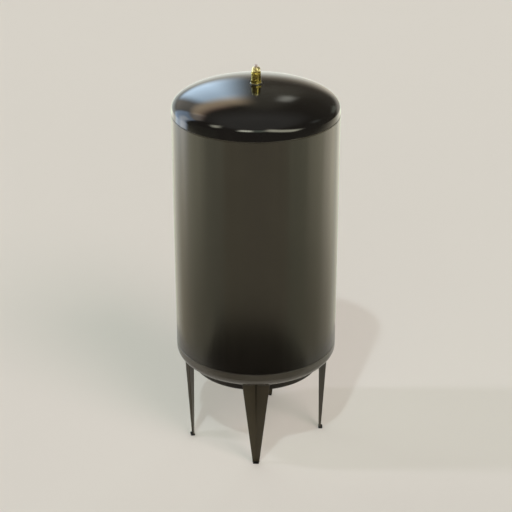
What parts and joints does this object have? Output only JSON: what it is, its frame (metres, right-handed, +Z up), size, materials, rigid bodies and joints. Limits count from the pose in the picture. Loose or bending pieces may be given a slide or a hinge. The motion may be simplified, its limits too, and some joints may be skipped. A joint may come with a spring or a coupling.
{
  "type": "upright pressure vessel",
  "caption": "Upright steel pressure vessel with dished ends, four folded legs, a brass air vent on top and a pipe socket below.",
  "frame": {"origin": "on the floor, on the vessel's axis", "axes": "+Z up along the vessel's axis; the front leg is on -Y and +X is to its right"},
  "size_m": [0.601, 0.601, 1.4837],
  "materials": {
    "satin_enamel": "satin black-brown enamel",
    "gloss_enamel": "gloss black enamel",
    "weld_enamel": "satin enamel over a ground weld",
    "frame_enamel": "satin dark olive-brown enamel",
    "foot_enamel": "matt black enamel",
    "dark_brass": "turned brass, dulled",
    "pale_brass": "turned brass, bright",
    "pin_metal": "plain steel"
  },
  "bodies": {
    "root": {"shell": "satin_enamel", "top_head": "gloss_enamel", "bottom_head": "satin_enamel", "top_girth_weld": "weld_enamel", "bottom_girth_weld": "weld_enamel", "support_ring": "frame_enamel", "leg_front": "frame_enamel", "leg_right": "frame_enamel", "leg_back": "frame_enamel", "leg_left": "frame_enamel", "foot_front": "foot_enamel", "foot_right": "foot_enamel", "foot_back": "foot_enamel", "foot_left": "foot_enamel", "vent_socket": "pale_brass", "vent_base": "dark_brass", "vent_body": "dark_brass", "vent_cap": "pale_brass", "vent_pin": "pin_metal", "bottom_socket": "frame_enamel"}
  },
  "joints": []
}
